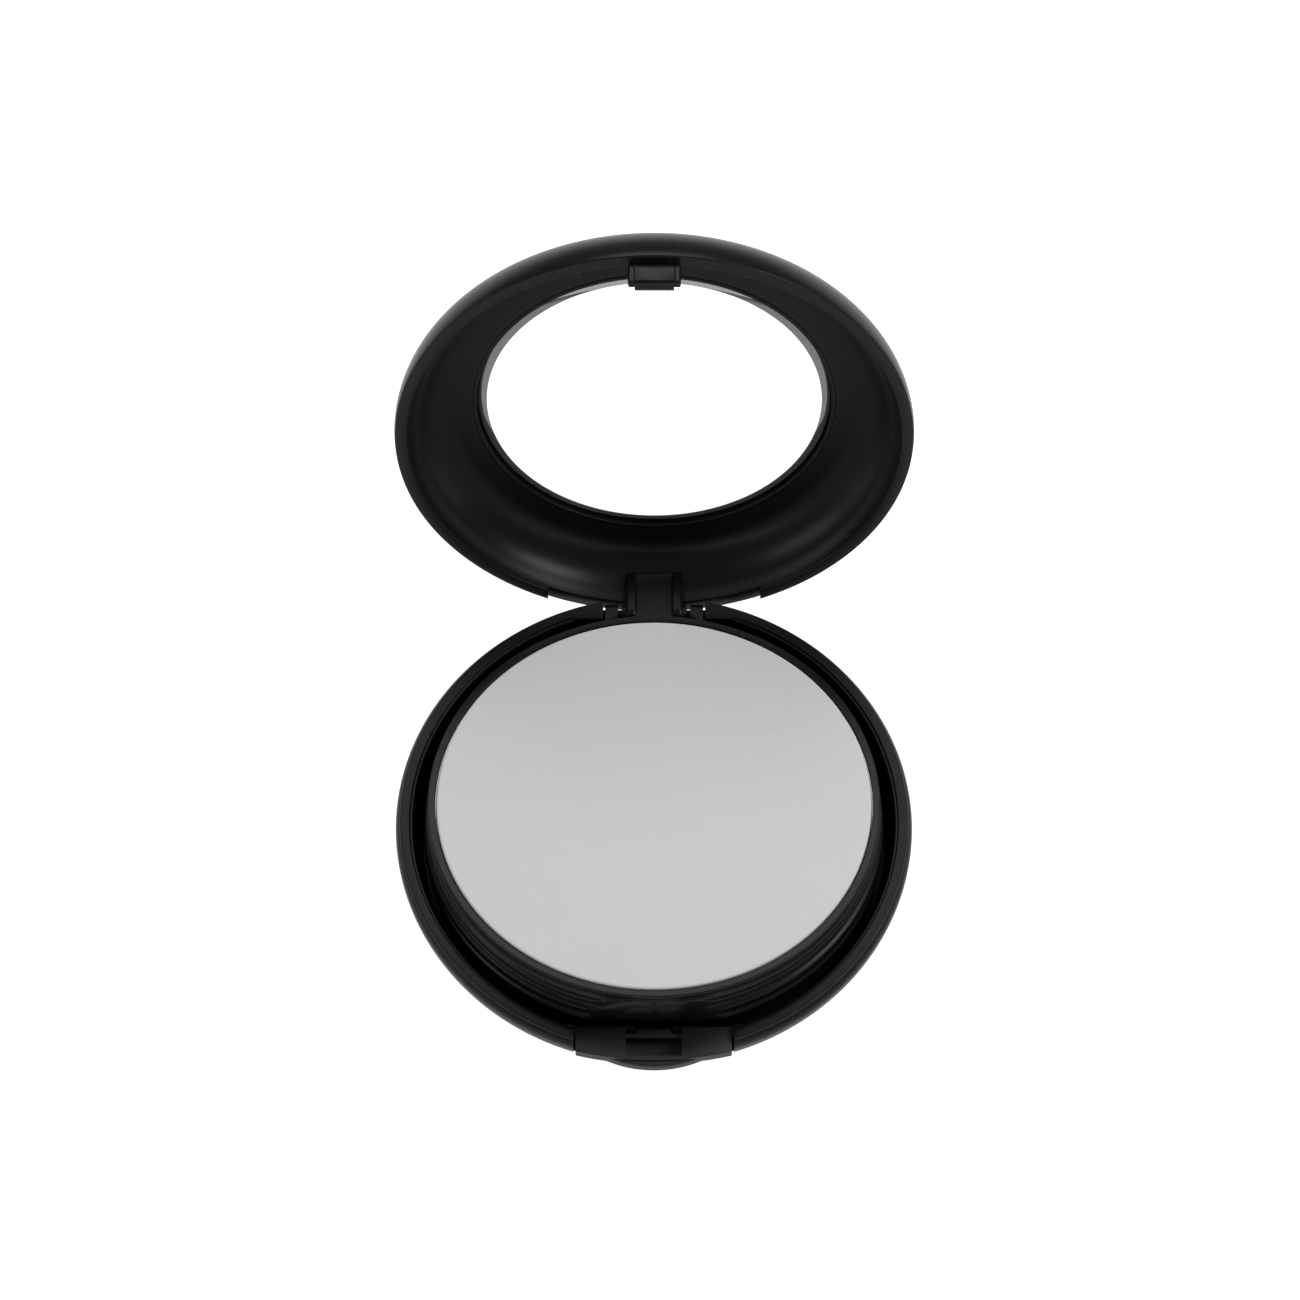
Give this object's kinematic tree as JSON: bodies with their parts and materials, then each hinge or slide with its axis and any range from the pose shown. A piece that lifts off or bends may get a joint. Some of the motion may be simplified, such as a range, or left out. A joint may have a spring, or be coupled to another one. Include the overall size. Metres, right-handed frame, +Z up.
{
  "type": "powder compact",
  "caption": "Round two-tier powder compact with a hinged mirror lid, a hinged powder tray over a sponge compartment, and a push-button catch.",
  "frame": {"origin": "centre of the flat underside of the base", "axes": "+Z up out of the foot, -Y towards the push-button at the front, +Y towards the hinge, +X to the right seen from the front"},
  "size_m": [0.071, 0.0962, 0.0734],
  "materials": {
    "case_black": "satin black moulded plastic",
    "tray_black": "smooth black moulded plastic",
    "powder": "fine pressed powder, pale grey",
    "pan_tin": "pressed sheet metal",
    "mirror": "polished silvered glass",
    "foam": "soft latex foam with a fine open cell",
    "label_paper": "plain film label, blank",
    "glue": "thin adhesive layer"
  },
  "bodies": {
    "base": {"base_shell": "case_black", "base_label": "label_paper", "sponge": "foam", "hinge_pin_left": "case_black", "hinge_pin_right": "case_black"},
    "button": {"latch_button": "case_black"},
    "tray": {"inner_tray": "tray_black", "pan": "pan_tin", "pan_adhesive": "glue", "powder_cake": "powder"},
    "lid": {"lid_shell": "case_black", "mirror": "mirror", "mirror_adhesive": "glue"}
  },
  "joints": [
    {"name": "lid_hinge", "type": "hinge", "parent": "base", "child": "lid", "pos_m": [0, 0.033, 0.0077], "axis": [-1, 0, 0], "range_deg": [-104.4, 0]},
    {"name": "tray_hinge", "type": "hinge", "parent": "base", "child": "tray", "pos_m": [0, 0.033, 0.0077], "axis": [-1, 0, 0], "range_deg": [-5.76, 0], "deforming": ["sponge"]},
    {"name": "button_slide", "type": "slide", "parent": "base", "child": "button", "axis": [0, 1, 0], "range_m": [0, 0.0006], "stiffness_N_per_m": 800}
  ],
  "couplings": [
    {"joint": "tray_hinge", "follows": "lid_hinge", "ratio": 0.055077}
  ]
}
